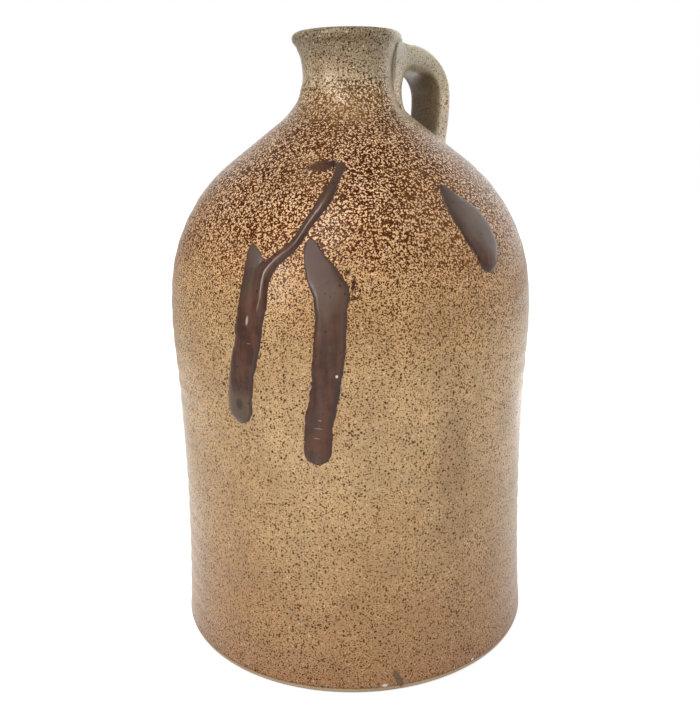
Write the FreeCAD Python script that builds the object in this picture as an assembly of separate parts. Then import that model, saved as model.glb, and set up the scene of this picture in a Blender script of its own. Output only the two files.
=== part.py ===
import FreeCAD, Part
import math
import os

# Stoneware jug: one thrown and pulled piece of fired clay, hollow, with an open mouth, a rolled
# lip on a flared neck, a round shoulder, a slightly waisted wall and one strap handle behind the
# right shoulder. Three thick runs of dark glaze lie on its outside. Millimetres, +Z up, origin
# on the turning axis at the level of the flat foot, front of the jug towards -Y.

# ---- driving dimensions: the turned form -------------------------------------------------------
jug_height = 280.0
belly_diameter = 171.2
foot_diameter = 173.1          # where the wall would meet the floor, before its corner is rounded
waist_below_belly = 68.8       # from the widest level down to the narrowest level of the wall
waist_depth = 1.8              # how far the waist lies inside the belly
belly_arc_radius = 171.0       # gentle arc of the wall through its widest level
belly_turn = math.radians(6.9)         # how far that arc runs on above the widest level
shoulder_radius = 78.2
shoulder_slope = math.radians(52.6)    # the straight shoulder's normal, up from the horizontal
neck_radius = 25.8             # hollow between the shoulder and the throat
neck_height = 16.9             # throat to rim
throat_diameter = 40.9
flare_radius = 22.6            # hollow between the throat and the lip
lip_bead_radius = 2.5
foot_corner_radius = 2.4

# ---- driving dimensions: the inside ------------------------------------------------------------
wall_thickness = 6.5
neck_wall = 5.5
floor_thickness = 8.0
floor_corner_radius = 12.0
lip_inner_radius = 2.2
mouth_clearance = 5.0          # how far the cutting core stands above the rim

# ---- driving dimensions: the strap handle ------------------------------------------------------
handle_azimuth = math.radians(35.0)    # from +X towards +Y
handle_bow = 35.3              # from the throat to the outside of the strap
handle_drop = 3.9              # from the rim down to the top of the strap
crown_radius = 15.0            # centreline of the bend at the top
fall_radius = 85.0             # centreline of the long bend down to the shoulder
strap_width = 24.0
strap_thickness = 9.8
crown_thickness = 13.0         # where the bend starts
root_depth = 44.0              # clay drawn down the neck under the top of the strap
root_curve = 2.5               # how suddenly the strap thickens towards the neck
root_width = 27.0
root_start = 8.0               # where the root begins, out from the axis
heel_thickness = 13.0          # where it is pressed on to the shoulder
heel_width = 27.0
heel_curve = 4.0               # how suddenly the strap thickens towards the shoulder
strap_exponent = 2.5           # of the strap's section: 2 is an ellipse, more is squarer
section_points = 16            # points that each section's closed curve passes through
root_shares = (0.0, 0.2, 0.4, 0.6, 0.8)        # sections from the neck's side to the crown
crown_shares = (0.0, 0.25, 0.5, 0.75, 1.0)     # sections round the crown's bend
fall_shares = (0.3, 0.55, 0.8, 1.0)            # sections down to the heel

# ---- driving dimensions: the glaze runs --------------------------------------------------------
glaze_relief = 1.4             # how far a full run stands proud of the clay
glaze_full_width = 6.0         # half width from which a run has its full relief
glaze_root = 0.9               # how far its rounded section starts below the clay's surface
glaze_exponent = 2.0
end_rounding = [math.radians(a) for a in (25.0, 50.0, 75.0)]

# Stations of each run from the top down: azimuth in degrees from the front (-Y) towards +X,
# depth below the rim, and half the run's width.
fork_stem = [(-29.2, 87.0, 1.7), (-27.9, 92.5, 4.2), (-27.0, 100.0, 5.8), (-28.0, 113.0, 6.5),
             (-29.5, 126.0, 6.2), (-31.7, 138.0, 5.9), (-33.0, 149.0, 6.1), (-33.2, 153.5, 5.9)]
fork_branch = [(-2.9, 56.0, 1.4), (-4.9, 61.5, 1.5), (-8.8, 70.5, 2.2), (-11.2, 75.0, 1.7),
               (-17.3, 87.0, 1.9), (-20.9, 91.0, 2.3), (-23.3, 95.0, 2.6), (-24.6, 101.0, 3.0)]
long_run = [(-11.2, 84.5, 1.7), (-10.3, 88.6, 3.6), (-9.3, 92.4, 4.6), (-7.3, 97.0, 6.1),
            (-5.3, 102.5, 7.0), (-5.2, 110.0, 6.2), (-5.9, 128.0, 6.2), (-7.2, 142.5, 5.7),
            (-8.8, 154.0, 5.6), (-9.7, 168.0, 5.8)]
side_run = [(36.5, 66.0, 2.2), (38.1, 69.0, 4.8), (40.6, 73.5, 8.0), (42.8, 79.0, 10.0),
            (44.1, 85.5, 9.8), (44.3, 90.5, 8.2), (44.1, 93.5, 6.9)]

# ---- the chain of arcs behind the turned form ---------------------------------------------------
# Each arc is kept as a centre and a radius, so that the inside is the same chain moved inwards.
throat_level = jug_height - neck_height
throat_radius = throat_diameter / 2
neck_centre = (throat_radius + neck_radius, throat_level)
flare_centre = (throat_radius + flare_radius, throat_level)

# shoulder circle: tangent to the belly arc, and to the straight slope that the neck arc ends on
belly_overhang = belly_arc_radius - shoulder_radius
shoulder_x = belly_diameter / 2 - belly_arc_radius + belly_overhang * math.cos(belly_turn)
shoulder_gap = shoulder_radius + neck_radius
shoulder_gap -= (neck_centre[0] - shoulder_x) * math.cos(shoulder_slope)
shoulder_level = throat_level - shoulder_gap / math.sin(shoulder_slope)
shoulder_centre = (shoulder_x, shoulder_level)
belly_level = shoulder_level - belly_overhang * math.sin(belly_turn)
belly_centre = (belly_diameter / 2 - belly_arc_radius, belly_level)

# reverse curve from the belly to the waist, then one arc from the waist to the foot
reverse_radii = (waist_depth ** 2 + waist_below_belly ** 2) / (2 * waist_depth)
waist_arc_radius = reverse_radii - belly_arc_radius
reverse_angle = math.asin(waist_below_belly / reverse_radii)
waist_x = belly_diameter / 2 - waist_depth
waist_level = belly_level - waist_below_belly
waist_centre = (waist_x + waist_arc_radius, waist_level)
foot_spread = foot_diameter / 2 - waist_x
skirt_arc_radius = (foot_spread ** 2 + waist_level ** 2) / (2 * foot_spread)
skirt_centre = (waist_x + skirt_arc_radius, waist_level)


def polar(centre, radius, angle):
    """Point of a circle in the profile plane."""
    return (centre[0] + radius * math.cos(angle), centre[1] + radius * math.sin(angle))


def place(point, azimuth=0.0):
    """Profile point (radius, height) in space, at an azimuth from +X towards +Y."""
    return FreeCAD.Vector(point[0] * math.cos(azimuth), point[0] * math.sin(azimuth), point[1])


def arc(centre, radius, start, end):
    """Arc of the profile from one angle to another, either way round."""
    angles = (start, (start + end) / 2, end)
    return Part.Arc(*[place(polar(centre, radius, angle)) for angle in angles]).toShape()


def line(start, end):
    """Straight stretch of the profile."""
    return Part.makeLine(place(start), place(end))


def revolve(edges):
    """Closed outline in the profile plane, turned all the way round the axis."""
    face = Part.Face(Part.Wire(edges))
    return face.revolve(FreeCAD.Vector(0, 0, 0), FreeCAD.Vector(0, 0, 1), 360)


def wall_edges(inset, neck_inset, lowest):
    """Wall from the angle lowest of the skirt arc up to the throat, moved inwards."""
    shoulder = shoulder_radius - inset
    neck = neck_radius + neck_inset
    # the slope between the shoulder circle and the neck circle is their common tangent
    apart = (neck_centre[0] - shoulder_centre[0], neck_centre[1] - shoulder_centre[1])
    bearing = math.atan2(apart[1], apart[0])
    normal = bearing - math.acos((shoulder + neck) / math.hypot(*apart))
    slope_foot = polar(shoulder_centre, shoulder, normal)
    slope_head = polar(neck_centre, neck, normal + math.pi)
    return [arc(skirt_centre, skirt_arc_radius + inset, math.pi + lowest, math.pi),
            arc(waist_centre, waist_arc_radius + inset, math.pi, math.pi - reverse_angle),
            arc(belly_centre, belly_arc_radius - inset, -reverse_angle, belly_turn),
            arc(shoulder_centre, shoulder, belly_turn, normal),
            line(slope_foot, slope_head),
            arc(neck_centre, neck, normal + math.pi, math.pi)]


def outside():
    """The jug's outer form as a solid, without its handle."""
    foot_reach = skirt_arc_radius + foot_corner_radius
    foot_angle = math.asin((waist_level - foot_corner_radius) / foot_reach)
    foot_centre = polar(skirt_centre, foot_reach, math.pi + foot_angle)
    lip_reach = flare_radius + lip_bead_radius
    lip_angle = math.asin((neck_height - lip_bead_radius) / lip_reach)
    lip_centre = polar(flare_centre, lip_reach, math.pi - lip_angle)
    edges = [line((0, 0), (foot_centre[0], 0)),
             arc(foot_centre, foot_corner_radius, -math.pi / 2, foot_angle)]
    edges += wall_edges(0, 0, foot_angle)
    edges += [arc(flare_centre, flare_radius, math.pi, math.pi - lip_angle),
              arc(lip_centre, lip_bead_radius, -lip_angle, math.pi / 2),
              line((lip_centre[0], jug_height), (0, jug_height)),
              line((0, jug_height), (0, 0))]
    return revolve(edges)


def inside():
    """The jug's hollow as a solid, up through the open mouth."""
    corner_reach = skirt_arc_radius + wall_thickness + floor_corner_radius
    corner_level = floor_thickness + floor_corner_radius
    corner_angle = math.asin((waist_level - corner_level) / corner_reach)
    corner_centre = polar(skirt_centre, corner_reach, math.pi + corner_angle)
    lip_reach = flare_radius + neck_wall - lip_inner_radius
    lip_angle = math.asin((neck_height - lip_inner_radius) / lip_reach)
    lip_centre = polar(flare_centre, lip_reach, math.pi - lip_angle)
    core_top = jug_height + mouth_clearance
    edges = [line((0, floor_thickness), (corner_centre[0], floor_thickness)),
             arc(corner_centre, floor_corner_radius, -math.pi / 2, corner_angle)]
    edges += wall_edges(wall_thickness, neck_wall, corner_angle)
    edges += [arc(flare_centre, flare_radius + neck_wall, math.pi, math.pi - lip_angle),
              arc(lip_centre, lip_inner_radius, math.pi - lip_angle, math.pi / 2),
              line((lip_centre[0], jug_height), (lip_centre[0], core_top)),
              line((lip_centre[0], core_top), (0, core_top)),
              line((0, core_top), (0, floor_thickness))]
    return revolve(edges)


def rounded_section(centre, across, up, half_width, half_height, exponent):
    """Closed smooth wire of a rounded section: |x/w|^n + |y/h|^n = 1."""
    points = []
    for step in range(section_points):
        angle = 2 * math.pi * step / section_points
        cosine = math.cos(angle)
        sine = math.sin(angle)
        x = math.copysign(abs(cosine) ** (2 / exponent), cosine) * half_width
        y = math.copysign(abs(sine) ** (2 / exponent), sine) * half_height
        points.append(centre + across * x + up * y)
    curve = Part.BSplineCurve()
    curve.interpolate(Points=points, PeriodicFlag=True)
    return Part.Wire(curve.toShape())


def handle():
    """Strap handle: from inside the neck's wall, round the crown, down into the shoulder."""
    bow_x = throat_radius + handle_bow - strap_thickness / 2
    crown_top = jug_height - handle_drop - crown_thickness / 2
    crown_centre = (bow_x - crown_radius, crown_top - crown_radius)
    fall_centre = (bow_x - fall_radius, crown_centre[1])
    across = FreeCAD.Vector(-math.sin(handle_azimuth), math.cos(handle_azimuth), 0)
    # the heel ends a wall's thickness under the shoulder slope
    slope_point = polar(shoulder_centre, shoulder_radius, shoulder_slope)
    height_over = ((fall_centre[0] - slope_point[0]) * math.cos(shoulder_slope)
                   + (fall_centre[1] - slope_point[1]) * math.sin(shoulder_slope))
    heel_angle = shoulder_slope - math.acos((-wall_thickness - height_over) / fall_radius)

    # stations: point of the centreline, angle of its outward normal, width, thickness
    strap_top = jug_height - handle_drop
    neck_side = throat_radius - neck_wall / 2
    run_out = crown_centre[0] - neck_side
    stations = [((root_start, strap_top - root_depth / 2), math.pi / 2, root_width, root_depth)]
    for share in root_shares:
        ease = (1 - share) ** root_curve
        depth = crown_thickness + (root_depth - crown_thickness) * ease
        stations.append(((neck_side + run_out * share, strap_top - depth / 2), math.pi / 2,
                         strap_width + (root_width - strap_width) * ease, depth))
    for share in crown_shares:
        angle = math.pi / 2 * (1 - share)
        ease = (1 - share) ** 2
        stations.append((polar(crown_centre, crown_radius, angle), angle, strap_width,
                         strap_thickness + (crown_thickness - strap_thickness) * ease))
    for share in fall_shares:
        ease = share ** heel_curve
        stations.append((polar(fall_centre, fall_radius, heel_angle * share),
                         heel_angle * share,
                         strap_width + (heel_width - strap_width) * ease,
                         strap_thickness + (heel_thickness - strap_thickness) * ease))
    wires = []
    for point, angle, width, thickness in stations:
        up = place((math.cos(angle), math.sin(angle)), handle_azimuth)
        wires.append(rounded_section(place(point, handle_azimuth), across, up,
                                     width / 2, thickness / 2, strap_exponent))
    return Part.makeLoft(wires, True, False)


def wall_at(level):
    """Outside radius at a level above the waist, and the angle of the wall's normal there."""
    slope_foot = polar(shoulder_centre, shoulder_radius, shoulder_slope)
    if level > slope_foot[1]:
        return (slope_foot[0] - (level - slope_foot[1]) * math.tan(shoulder_slope),
                shoulder_slope)
    if level > polar(shoulder_centre, shoulder_radius, belly_turn)[1]:
        angle = math.asin((level - shoulder_level) / shoulder_radius)
        return polar(shoulder_centre, shoulder_radius, angle)[0], angle
    if level > polar(belly_centre, belly_arc_radius, -reverse_angle)[1]:
        angle = math.asin((level - belly_level) / belly_arc_radius)
        return polar(belly_centre, belly_arc_radius, angle)[0], angle
    angle = -math.asin((level - waist_level) / waist_arc_radius)
    return polar(waist_centre, waist_arc_radius, math.pi + angle)[0], angle


def glaze_run(stations):
    """One run of glaze: rounded sections along the wall, rounded off at both ends."""
    points = []
    normals = []
    for azimuth, depth, _ in stations:
        turn = math.radians(azimuth) - math.pi / 2
        radius, angle = wall_at(jug_height - depth)
        points.append(place((radius, jug_height - depth), turn))
        normals.append(place((math.cos(angle), math.sin(angle)), turn))
    half_widths = [width for _, _, width in stations]
    wires = []

    def section(index, travel, along, scale):
        """Section at a station, moved on along the run and scaled for a rounded end."""
        normal = normals[index]
        width = half_widths[index]
        height = glaze_root + glaze_relief * math.sqrt(min(1.0, width / glaze_full_width))
        sunk_width = width / math.sqrt(1 - (glaze_root / height) ** 2)
        centre = points[index] + travel * along - normal * glaze_root
        wires.append(rounded_section(centre, travel.cross(normal).normalize(), normal,
                                     sunk_width * scale, height * scale, glaze_exponent))

    last = len(stations) - 1
    for index in range(len(stations)):
        travel = points[min(index + 1, last)] - points[max(index - 1, 0)]
        travel.normalize()
        if index == 0:
            for angle in reversed(end_rounding):
                reach = half_widths[index] * math.sin(angle)
                section(index, travel, -reach, math.cos(angle))
        section(index, travel, 0.0, 1.0)
        if index == last:
            for angle in end_rounding:
                reach = half_widths[index] * math.sin(angle)
                section(index, travel, reach, math.cos(angle))
    return Part.makeLoft(wires, True, False)


def main():
    """Build the jug and its glaze runs, and write one STEP file for each."""
    body = outside()
    pieces = {
        "jug": body.fuse(handle()).cut(inside()).removeSplitter(),
        "glaze_fork": glaze_run(fork_stem).fuse(glaze_run(fork_branch)).cut(body),
        "glaze_long": glaze_run(long_run).cut(body),
        "glaze_side": glaze_run(side_run).cut(body),
    }
    os.makedirs("parts", exist_ok=True)
    for node, shape in pieces.items():
        solids = shape.Solids
        written = solids[0] if len(solids) == 1 else Part.makeCompound(solids)
        written.exportStep("parts/" + node + ".step")
        print(node, "solids:", len(solids), "valid:", written.isValid(),
              "volume in cubic centimetres:", round(written.Volume / 1000, 1))


main()
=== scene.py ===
"""Stoneware jug: the looks of a salt-glazed gallon jug with three runs of dark glaze.

The clay body is turned from one outline by a Geometry Nodes tree, the strap handle is a swept
section with soft joints, and the glaze runs are beads that follow the wall. Lengths are in
metres, +Z is up, the origin is the centre of the foot, and the front of the jug faces -Y.
"""

from __future__ import annotations

import logging
import math
from dataclasses import dataclass
from enum import Enum

import bpy
import numpy as np
from mathutils import Matrix, Vector

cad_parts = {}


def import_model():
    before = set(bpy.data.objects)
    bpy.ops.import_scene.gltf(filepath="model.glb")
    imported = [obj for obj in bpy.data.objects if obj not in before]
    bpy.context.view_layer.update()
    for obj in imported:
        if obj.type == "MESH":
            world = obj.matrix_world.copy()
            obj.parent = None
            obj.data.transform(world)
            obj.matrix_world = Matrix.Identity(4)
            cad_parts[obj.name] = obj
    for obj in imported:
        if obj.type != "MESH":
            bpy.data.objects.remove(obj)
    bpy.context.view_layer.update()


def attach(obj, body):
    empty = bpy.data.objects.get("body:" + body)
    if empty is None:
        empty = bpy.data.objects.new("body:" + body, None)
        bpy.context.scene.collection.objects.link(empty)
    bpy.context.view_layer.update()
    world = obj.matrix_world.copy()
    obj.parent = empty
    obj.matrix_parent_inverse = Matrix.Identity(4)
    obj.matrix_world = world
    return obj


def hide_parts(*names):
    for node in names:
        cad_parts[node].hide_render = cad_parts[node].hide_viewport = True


LOG = logging.getLogger("stoneware_jug")
MM = 0.001
TAU = 2.0 * math.pi

Array = np.ndarray
Piece = bpy.types.Object
Material = bpy.types.Material
Socket = bpy.types.NodeSocket
Pair = tuple[float, float]
Triple = tuple[float, float, float]
Colour = tuple[float, float, float, float]


def srgb(red: int, green: int, blue: int) -> Colour:
    """Turn a colour as seen on a screen, 0 to 255 a channel, into the linear one shaders take."""
    shares = (value / 255.0 for value in (red, green, blue))
    return (*(s / 12.92 if s <= 0.04045 else ((s + 0.055) / 1.055) ** 2.4 for s in shares), 1.0)


def smooth_step(low: float, high: float, value: Array | float) -> Array | float:
    """Rise smoothly from 0 at low to 1 at high, in an S curve."""
    share = np.clip((value - low) / (high - low), 0.0, 1.0)
    return share * share * (3.0 - 2.0 * share)


# ---- the turned form ----


@dataclass(frozen=True)
class Arc:
    """One round stretch of the outline, in the plane of radius and height."""

    centre: Pair
    radius: float
    start: float
    end: float

    def at(self, share: float) -> Pair:
        """Point at a share of the way along the arc."""
        angle = self.start + (self.end - self.start) * share
        return (self.centre[0] + self.radius * math.cos(angle),
                self.centre[1] + self.radius * math.sin(angle))

    def part(self, first: float, last: float) -> Arc:
        """Stretch of the arc between two shares of the way along it."""
        sweep = self.end - self.start
        return Arc(self.centre, self.radius, self.start + sweep * first, self.start + sweep * last)

    def points(self, step: float) -> list[Pair]:
        """Points from the start to the end, evenly spread and no further apart than the step."""
        count = max(2, math.ceil(abs(self.radius * (self.end - self.start)) / step))
        return [self.at(index / count) for index in range(count + 1)]


def thinned(points: list[Pair], closest: float = 1e-5) -> list[Pair]:
    """Drop the points of an outline that repeat the one before.

    Args:
        points: Points of an outline.
        closest: Distance below which two points are one.

    Returns:
        The points that are left.
    """
    kept = [points[0]]
    for point in points[1:]:
        if math.dist(point, kept[-1]) > closest:
            kept.append(point)
    return kept


@dataclass(frozen=True)
class TurnedOutline:
    """The potter's outline: one chain of tangent arcs, and the same chain moved inwards."""

    height: float = 0.2800
    belly_radius: float = 0.0856
    foot_radius: float = 0.08655
    waist_below_belly: float = 0.0688
    waist_depth: float = 0.0018
    belly_arc: float = 0.1710
    belly_turn: float = math.radians(6.9)
    shoulder_arc: float = 0.0782
    shoulder_slope: float = math.radians(52.6)
    neck_arc: float = 0.0258
    neck_height: float = 0.0169
    throat_radius: float = 0.02045
    flare_arc: float = 0.0226
    lip_bead: float = 0.0025
    foot_corner: float = 0.0024
    wall: float = 0.0065
    neck_wall: float = 0.0055
    floor: float = 0.0080
    floor_corner: float = 0.0120
    lip_inner: float = 0.0022
    outside_step: float = 0.0015
    inside_step: float = 0.0060
    rim_step: float = 0.0005
    foot_detail: float = 0.0030

    @property
    def throat_level(self) -> float:
        """Height of the narrowest level of the neck."""
        return self.height - self.neck_height

    @property
    def shoulder_centre(self) -> Pair:
        """Centre of the shoulder's arc."""
        overhang = self.belly_arc - self.shoulder_arc
        across = self.belly_radius - self.belly_arc + overhang * math.cos(self.belly_turn)
        gap = self.shoulder_arc + self.neck_arc
        gap -= (self.throat_radius + self.neck_arc - across) * math.cos(self.shoulder_slope)
        return (across, self.throat_level - gap / math.sin(self.shoulder_slope))

    def wall_arcs(self, inset: float, neck_inset: float, lowest: float) -> list[Arc]:
        """Arcs from the foot up to the throat.

        Args:
            inset: How far the chain is moved in from the outside.
            neck_inset: The same at the neck.
            lowest: Angle below the waist's level at which the chain starts.

        Returns:
            The skirt, waist, belly, shoulder and neck arcs, from the bottom up.
        """
        centre = self.shoulder_centre
        overhang = self.belly_arc - self.shoulder_arc
        belly_level = centre[1] - overhang * math.sin(self.belly_turn)
        radii = (self.waist_depth ** 2 + self.waist_below_belly ** 2) / (2 * self.waist_depth)
        reverse = math.asin(self.waist_below_belly / radii)
        waist_level = belly_level - self.waist_below_belly
        waist_x = self.belly_radius - self.waist_depth
        spread = self.foot_radius - waist_x
        skirt = (spread ** 2 + waist_level ** 2) / (2 * spread)
        neck_centre = (self.throat_radius + self.neck_arc, self.throat_level)
        shoulder = self.shoulder_arc - inset
        neck = self.neck_arc + neck_inset
        apart = (neck_centre[0] - centre[0], neck_centre[1] - centre[1])
        normal = math.atan2(apart[1], apart[0]) - math.acos((shoulder + neck)
                                                            / math.hypot(*apart))
        waist_arc = radii - self.belly_arc
        return [Arc((waist_x + skirt, waist_level), skirt + inset, math.pi + lowest, math.pi),
                Arc((waist_x + waist_arc, waist_level), waist_arc + inset,
                    math.pi, math.pi - reverse),
                Arc((self.belly_radius - self.belly_arc, belly_level), self.belly_arc - inset,
                    -reverse, self.belly_turn),
                Arc(centre, shoulder, self.belly_turn, normal),
                Arc(neck_centre, neck, normal + math.pi, math.pi)]

    def corner(self, inset: float, radius: float, level: float) -> Arc:
        """Rounded corner from a level floor up to the skirt's arc.

        Args:
            inset: How far the wall is moved in from the outside.
            radius: Radius of the corner, outside the foot or inside the floor.
            level: Height of the floor.

        Returns:
            The corner's arc.
        """
        skirt = self.wall_arcs(0.0, 0.0, 0.0)[0]
        reach = skirt.radius + inset + radius
        angle = math.asin((skirt.centre[1] - level - radius) / reach)
        centre = (skirt.centre[0] - reach * math.cos(angle), level + radius)
        return Arc(centre, radius, -math.pi / 2, angle)

    def lip(self, inset: float, radius: float, outside: bool) -> tuple[Arc, Arc]:
        """Flare and rounded edge of the lip.

        Args:
            inset: How far the flare is moved in from the outside.
            radius: Radius of the edge.
            outside: Whether this is the bead outside or the edge inside.

        Returns:
            The flare's arc upwards from the throat, and the edge's arc up to the rim.
        """
        centre = (self.throat_radius + self.flare_arc, self.throat_level)
        flare = self.flare_arc + inset
        reach = flare + radius if outside else flare - radius
        angle = math.asin((self.neck_height - radius) / reach)
        edge = (centre[0] - reach * math.cos(angle), self.height - radius)
        start = -angle if outside else math.pi - angle
        return (Arc(centre, flare, math.pi, math.pi - angle),
                Arc(edge, radius, start, math.pi / 2))

    def outside(self) -> list[Pair]:
        """Outline from the middle of the foot, up the outside, to the top of the rim."""
        corner = self.corner(0.0, self.foot_corner, 0.0)
        flare, bead = self.lip(0.0, self.lip_bead, True)
        points: list[Pair] = [(0.0, 0.0), (corner.centre[0] * 0.5, 0.0)]
        points += corner.points(self.rim_step)
        skirt, *rest = self.wall_arcs(0.0, 0.0, corner.end)
        fine = self.foot_detail / abs(skirt.radius * (skirt.end - skirt.start))
        points += skirt.part(0.0, fine).points(self.rim_step)
        for arc in (skirt.part(fine, 1.0), *rest):
            points += arc.points(self.outside_step)
        return thinned(points + flare.points(self.rim_step) + bead.points(self.rim_step))

    def inside(self) -> list[Pair]:
        """Outline from the top of the rim, down the inside, to the middle of the floor."""
        corner = self.corner(self.wall, self.floor_corner, self.floor)
        flare, edge = self.lip(self.neck_wall, self.lip_inner, False)
        points: list[Pair] = [(0.0, self.floor), (corner.centre[0] * 0.5, self.floor)]
        for arc in (corner, *self.wall_arcs(self.wall, self.neck_wall, corner.end)):
            points += arc.points(self.inside_step)
        points += flare.points(self.inside_step * 0.5) + edge.points(self.rim_step)
        return thinned(points)[::-1]


class Wall:
    """The outside of the turned form as a surface that other pieces are laid on."""

    def __init__(self, outline: TurnedOutline) -> None:
        """Measure the outline from the foot's corner to the lip's bead.

        Args:
            outline: The potter's outline.
        """
        points = np.array([p for p in outline.outside() if p[0] > outline.throat_radius * 0.9])
        top = int(np.argmax(points[:, 1] > outline.height - outline.lip_bead))
        points = points[:top + 1]
        points = points[np.argsort(points[:, 1], kind="stable")]
        self.radii, self.levels = points.T
        self.slopes = np.gradient(self.radii, np.maximum(self.levels, 0) + 1e-9
                                  * np.arange(len(self.levels)))
        steps = np.hypot(np.diff(self.radii), np.diff(self.levels))
        self.run = np.concatenate([[0.0], np.cumsum(steps)])

    def radius(self, level: Array | float) -> Array:
        """Outside radius at a height."""
        return np.interp(level, self.levels, self.radii)

    def slope(self, level: Array | float) -> Array:
        """Change of the radius with height."""
        return np.interp(level, self.levels, self.slopes)

    def place(self, azimuth: Array, level: Array) -> tuple[Array, Array]:
        """Points on the wall and the wall's outward normals there.

        Args:
            azimuth: Angles from the front (-Y) towards +X, in radians.
            level: Heights.

        Returns:
            Points and unit normals, one row each.
        """
        across = np.stack([np.sin(azimuth), -np.cos(azimuth), np.zeros_like(azimuth)], axis=-1)
        points = across * self.radius(level)[..., None]
        points[..., 2] = level
        normals = across.copy()
        normals[..., 2] = -self.slope(level)
        return points, normals / np.linalg.norm(normals, axis=-1, keepdims=True)

    def normals(self, points: Array) -> Array:
        """The wall's outward normals beside some points."""
        return self.place(np.arctan2(points[..., 0], -points[..., 1]), points[..., 2])[1]

    def distance(self, points: Array) -> Array:
        """How far points lie outside the wall along its normal, negative inside the clay."""
        reach = np.hypot(points[..., 0], points[..., 1]) - self.radius(points[..., 2])
        return reach / np.hypot(1.0, self.slope(points[..., 2]))

    def onto(self, points: Array, sink: float) -> Array:
        """Move points along the normal until they lie under the wall by a depth.

        Args:
            points: Points near the wall, one row each.
            sink: Depth under the wall.

        Returns:
            The moved points.
        """
        moved = points.copy()
        for _ in range(4):
            moved -= self.normals(moved) * (self.distance(moved) + sink)[..., None]
        return moved


@dataclass(frozen=True)
class Wander:
    """A smooth, seeded unevenness in space, from -1 to 1: a sum of slanted waves."""

    wavelength: float
    seed: int
    waves: int = 9

    def at(self, points: Array) -> Array:
        """Read the unevenness.

        Args:
            points: Points, one row each.

        Returns:
            One value for each point.
        """
        rng = np.random.default_rng(self.seed)
        headings = rng.normal(size=(self.waves, 3))
        headings /= np.linalg.norm(headings, axis=1, keepdims=True)
        lengths = self.wavelength * rng.uniform(0.7, 1.6, self.waves)
        phases = rng.uniform(0.0, TAU, self.waves)
        total = np.zeros(points.shape[:-1])
        for heading, length, phase in zip(headings, lengths, phases):
            total += np.sin(points @ heading * (TAU / length) + phase)
        return total / math.sqrt(self.waves) * 0.7


# ---- helpers for meshes ----


def mesh_piece(name: str, points: Array, faces: Array | list,
               finish: Material) -> Piece:
    """Make a smooth-shaded mesh object at the origin.

    Args:
        name: Name of the piece.
        points: Corner points in the jug's frame.
        faces: Faces as rows of point numbers.
        finish: Its material.

    Returns:
        The object, linked to the scene.
    """
    mesh = bpy.data.meshes.new(name)
    mesh.from_pydata(np.asarray(points).tolist(), [], [list(map(int, face)) for face in faces])
    mesh.update()
    mesh.shade_smooth()
    mesh.materials.append(finish)
    return linked(name, mesh)


def linked(name: str, data: bpy.types.ID) -> Piece:
    """Make an object of a mesh, lamp or camera.

    Args:
        name: Name of the object.
        data: What it is made of.

    Returns:
        The object, linked to the scene.
    """
    piece = bpy.data.objects.new(name, data)
    bpy.context.scene.collection.objects.link(piece)
    return piece


def store(piece: Piece, name: str, values: Array) -> None:
    """Keep one number for each point of a mesh, for its material to read."""
    layer = piece.data.attributes.new(name, "FLOAT", "POINT")
    layer.data.foreach_set("value", np.asarray(values, dtype=np.float32))


def face_outwards(mesh: bpy.types.Mesh) -> None:
    """Turn a closed mesh the right way out, by the sign of the volume inside it.

    Args:
        mesh: The closed mesh.
    """
    mesh.calc_loop_triangles()
    corners = np.empty(len(mesh.vertices) * 3)
    mesh.vertices.foreach_get("co", corners)
    triangles = np.empty(len(mesh.loop_triangles) * 3, dtype=np.int64)
    mesh.loop_triangles.foreach_get("vertices", triangles)
    a, b, c = corners.reshape(-1, 3)[triangles].reshape(-1, 3, 3).transpose(1, 0, 2)
    if np.einsum("ij,ij->", a, np.cross(b, c)) < 0.0:
        mesh.flip_normals()


# ---- helpers for node trees ----


class Step(Enum):
    """Arithmetic that a node does."""

    ADD = "ADD"
    SUBTRACT = "SUBTRACT"
    MULTIPLY = "MULTIPLY"
    DIVIDE = "DIVIDE"
    POWER = "POWER"
    MAXIMUM = "MAXIMUM"
    SINE = "SINE"
    COSINE = "COSINE"
    FLOOR = "FLOOR"
    ARCTAN2 = "ARCTAN2"


@dataclass(frozen=True)
class Wire:
    """The output of a node, which can be reckoned with, as in (wire - 0.5) * 2.0."""

    bench: Bench
    socket: Socket

    def __add__(self, other: Feed) -> Wire:
        """Sum of two values."""
        return self.bench.math(Step.ADD, self, other)

    def __sub__(self, other: Feed) -> Wire:
        """Difference of two values."""
        return self.bench.math(Step.SUBTRACT, self, other)

    def __rsub__(self, other: Feed) -> Wire:
        """What is left of a number."""
        return self.bench.math(Step.SUBTRACT, other, self)

    def __mul__(self, other: Feed) -> Wire:
        """Product of two values."""
        return self.bench.math(Step.MULTIPLY, self, other)

    def __truediv__(self, other: Feed) -> Wire:
        """Quotient of two values."""
        return self.bench.math(Step.DIVIDE, self, other)

    def __pow__(self, other: Feed) -> Wire:
        """Power of a value."""
        return self.bench.math(Step.POWER, self, other)

    def or_more(self, other: Feed) -> Wire:
        """The larger of two values."""
        return self.bench.math(Step.MAXIMUM, self, other)

    def rise(self, low: Feed, high: Feed, bottom: Feed = 0.0, top: Feed = 1.0) -> Wire:
        """Smooth step from a bottom at one level of this value to a top at another."""
        feeds = dict(enumerate((self, low, high, bottom, top)))
        return self.bench.wire("ShaderNodeMapRange", feeds, interpolation_type="SMOOTHSTEP")

    def band(self, low: float, high: float, soft: float) -> Wire:
        """1 where this value is between two levels and 0 elsewhere, with soft edges."""
        return self.rise(low - soft, low + soft) * self.rise(high - soft, high + soft, 1.0, 0.0)

    def under(self, share: Feed, coat: Feed) -> Wire:
        """This colour under a share of a coat of another."""
        return self.bench.mix(share, self, coat)


Feed = Wire | Socket | float | tuple


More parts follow.
